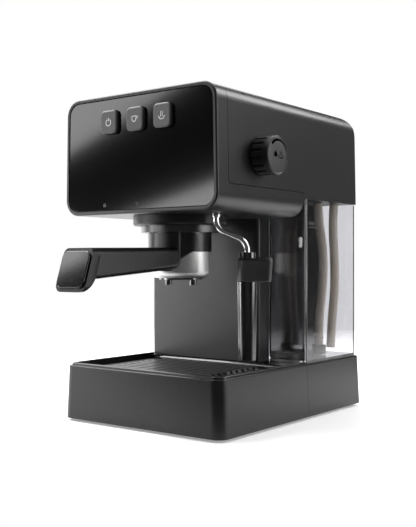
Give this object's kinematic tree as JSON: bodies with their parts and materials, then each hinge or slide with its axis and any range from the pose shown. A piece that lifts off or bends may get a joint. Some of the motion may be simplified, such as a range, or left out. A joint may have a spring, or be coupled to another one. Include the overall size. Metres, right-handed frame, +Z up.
{
  "type": "espresso machine",
  "caption": "Compact home espresso machine: bayonet portafilter under a rounded housing, push buttons, steam knob and swinging wand, side water tank, sliding drip tray.",
  "frame": {"origin": "on the worktop, under the middle of the whole machine's outline", "axes": "+Z up, the front with the handle faces -Y, the steam knob and tank are on +X"},
  "size_m": [0.1974, 0.3249, 0.297],
  "materials": {
    "charcoal_plastic": "satin moulded",
    "under_plastic": "matt moulded",
    "gloss_fascia": "polished",
    "button_grey": "satin",
    "knob_black": "satin",
    "handle_black": "satin",
    "cap_gloss": "polished",
    "sleeve_black": "satin gloss",
    "grid_black": "satin",
    "rubber_black": "matt",
    "satin_steel": "satin",
    "group_metal": "dark cast",
    "chrome": "polished",
    "dark_chrome": "polished dark",
    "screw_steel": "zinc plated",
    "boiler_metal": "cast",
    "brass": "turned",
    "clear_tank": "clear",
    "silicone": "translucent",
    "filter_black": "mesh",
    "board": "solder mask",
    "switch_black": "moulded",
    "pump_plastic": "moulded",
    "coil_steel": "zinc plated",
    "pipe_steel": "drawn"
  },
  "bodies": {
    "machine": {"base_pan": "charcoal_plastic", "bottom_plate": "under_plastic", "feet": "rubber_black", "column_shell": "charcoal_plastic", "column_back": "charcoal_plastic", "cover_screws": "screw_steel", "cord_gland": "under_plastic", "front_frame": "charcoal_plastic", "top_cover": "charcoal_plastic", "cup_plate": "satin_steel", "fascia": "gloss_fascia", "control_board": "board", "button_switches": "switch_black", "steam_valve": "brass", "steam_feed_pipe": "pipe_steel", "boiler_lower": "boiler_metal", "boiler_upper": "boiler_metal", "boiler_bolts": "screw_steel", "thermostats": "switch_black", "group_flange": "group_metal", "group_collar": "group_metal", "group_gasket": "rubber_black", "shower_screen": "satin_steel", "shower_screw": "screw_steel", "wand_socket": "brass", "tank_deck": "under_plastic", "hose_bushes": "rubber_black", "intake_hose": "silicone", "return_hose": "silicone", "intake_filter": "filter_black", "pump_mount": "rubber_black", "pump_body": "pump_plastic", "pump_coil": "coil_steel", "pump_feed_pipe": "pipe_steel", "boiler_feed_pipe": "pipe_steel", "return_pipe": "pipe_steel"},
    "power_button": {"power_button": "button_grey"},
    "coffee_button": {"coffee_button": "button_grey"},
    "steam_button": {"steam_button": "button_grey"},
    "knob": {"steam_knob": "knob_black", "valve_spindle": "brass"},
    "portafilter": {"portafilter_cup": "satin_steel", "portafilter_sleeve": "sleeve_black", "filter_basket": "satin_steel", "portafilter_spouts": "chrome", "portafilter_handle": "handle_black", "handle_cap": "cap_gloss", "handle_rod": "screw_steel"},
    "wand": {"wand_swivel": "chrome", "steam_pipe": "chrome", "wand_collar": "rubber_black", "wand_grip": "rubber_black", "froth_sleeve": "dark_chrome", "wand_tip": "chrome"},
    "tray": {"drip_tray": "charcoal_plastic"},
    "grid": {"drip_grid": "grid_black"},
    "tank": {"water_tank": "clear_tank"}
  },
  "joints": [
    {"name": "power_press", "type": "slide", "parent": "machine", "child": "power_button", "axis": [0, 1, 0], "range_m": [0, 0.0015], "stiffness_N_per_m": 400},
    {"name": "coffee_press", "type": "slide", "parent": "machine", "child": "coffee_button", "axis": [0, 1, 0], "range_m": [0, 0.0015], "stiffness_N_per_m": 400},
    {"name": "steam_press", "type": "slide", "parent": "machine", "child": "steam_button", "axis": [0, 1, 0], "range_m": [0, 0.0015], "stiffness_N_per_m": 400},
    {"name": "knob_turn", "type": "hinge", "parent": "machine", "child": "knob", "pos_m": [0.08154, -0.0169, 0.2395], "axis": [1, 0, 0], "range_deg": [0, 270]},
    {"name": "portafilter_turn", "type": "hinge", "parent": "machine", "child": "portafilter", "pos_m": [-0.00664, -0.0193, 0.1794], "axis": [0, 0, 1], "range_deg": [-45, 0]},
    {"name": "wand_swing", "type": "hinge", "parent": "machine", "child": "wand", "pos_m": [0.04536, -0.0343, 0.19], "axis": [0, 0, 1], "range_deg": [-100, 40]},
    {"name": "tray_slide", "type": "slide", "parent": "machine", "child": "tray", "axis": [0, -1, 0], "range_m": [0, 0.14]},
    {"name": "grid_lift", "type": "slide", "parent": "tray", "child": "grid", "axis": [0, 0, 1], "range_m": [0, 0.008]},
    {"name": "tank_slide", "type": "slide", "parent": "machine", "child": "tank", "axis": [0, 1, 0], "range_m": [0, 0.05]}
  ]
}
